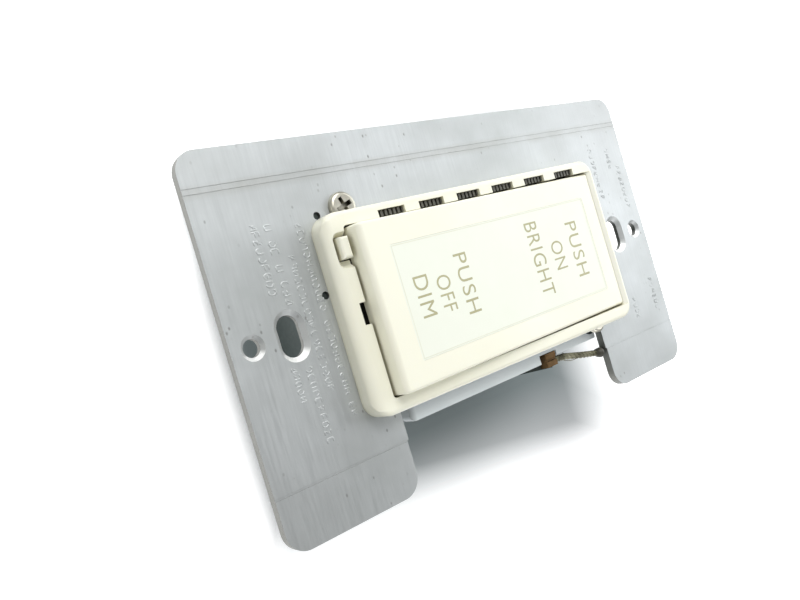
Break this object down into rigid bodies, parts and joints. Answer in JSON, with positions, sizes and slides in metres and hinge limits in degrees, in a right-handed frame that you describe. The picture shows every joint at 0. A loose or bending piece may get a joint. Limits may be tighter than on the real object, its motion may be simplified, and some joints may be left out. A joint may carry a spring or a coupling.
{
  "type": "wall-box paddle dimmer with slide tab",
  "caption": "Ivory rocker paddle dimmer in a frame on a flat aluminium strap plate with a side notch, a small sliding tab at one end, housing behind.",
  "frame": {"origin": "midway between the two round cover-plate screw holes, on the plate's back face (the wall plane)", "axes": "+Z out of the wall towards the user, +Y along the plate to the ON/BRIGHT end, +X to the side with the plate's notch"},
  "size_m": [0.0609, 0.1042, 0.0345],
  "materials": {
    "aluminium_plate": "rolled sheet, light scratches",
    "ivory_plastic": "moulded, soft sheen",
    "label_film": "printed film",
    "dark_plastic": "moulded",
    "housing_plastic": "moulded",
    "rail_plastic": "moulded",
    "screw_steel": "nickel plated",
    "spring_steel": "plain",
    "contact_brass": "plain",
    "clip_copper": "tarnished copper",
    "lead_strands": "tinned copper strands",
    "solder_dark": "dull solder and flux",
    "board_laminate": "laminate",
    "black_epoxy": "moulded epoxy",
    "silicone_pad": "pad",
    "fish_paper": "insulating paper",
    "ferrite": "ferrite",
    "enamelled_copper": "enamelled wire",
    "film_yellow": "dipped",
    "can_sleeve": "sleeved can",
    "rating_paper": "plain label"
  },
  "bodies": {
    "device": {"mounting_plate": "aluminium_plate", "bezel_frame": "ivory_plastic", "airgap_fixed_contacts": "contact_brass", "housing_screws": "screw_steel", "back_housing": "housing_plastic", "side_rails": "rail_plastic", "back_label": "rating_paper", "ground_clip": "clip_copper", "ground_lead": "lead_strands", "ground_solder": "solder_dark", "side_barrier": "fish_paper", "paddle_chassis": "dark_plastic", "vent_louvres": "dark_plastic", "pivot_pin": "spring_steel", "return_leaf": "spring_steel", "circuit_board": "board_laminate", "tact_body_dim": "black_epoxy", "tact_body_bright": "black_epoxy", "triac": "black_epoxy", "triac_pad": "silicone_pad", "triac_rivet": "spring_steel", "choke_core": "ferrite", "choke_winding": "enamelled_copper", "film_capacitor": "film_yellow", "electrolytic_capacitor": "can_sleeve", "control_ic": "black_epoxy", "fuse_body": "rating_paper", "insulator_sheet": "fish_paper", "terminal_plates": "contact_brass", "terminal_screws": "contact_brass"},
    "paddle": {"rocker_paddle": "ivory_plastic", "label_insert": "label_film"},
    "slider": {"airgap_slider": "ivory_plastic", "airgap_moving_contact": "contact_brass"},
    "stem_dim": {"tact_stem_dim": "dark_plastic"},
    "stem_bright": {"tact_stem_bright": "dark_plastic"}
  },
  "joints": [
    {"name": "paddle_rock", "type": "hinge", "parent": "device", "child": "paddle", "pos_m": [0, 0.001, 0.0036], "axis": [1, 0, 0], "range_deg": [-1.2, 3], "stiffness_Nm_per_rad": 0.2},
    {"name": "tab_slide", "type": "slide", "parent": "device", "child": "slider", "axis": [0, 0, 1], "range_m": [0, 0.0012]},
    {"name": "stem_dim_press", "type": "slide", "parent": "device", "child": "stem_dim", "axis": [0, 0, 1], "range_m": [-0.0005, 0.0002]},
    {"name": "stem_bright_press", "type": "slide", "parent": "device", "child": "stem_bright", "axis": [0, 0, 1], "range_m": [-0.0002, 0.0005]}
  ],
  "couplings": [
    {"joint": "stem_dim_press", "follows": "paddle_rock", "m_per_rad": -0.009},
    {"joint": "stem_bright_press", "follows": "paddle_rock", "m_per_rad": 0.009}
  ]
}
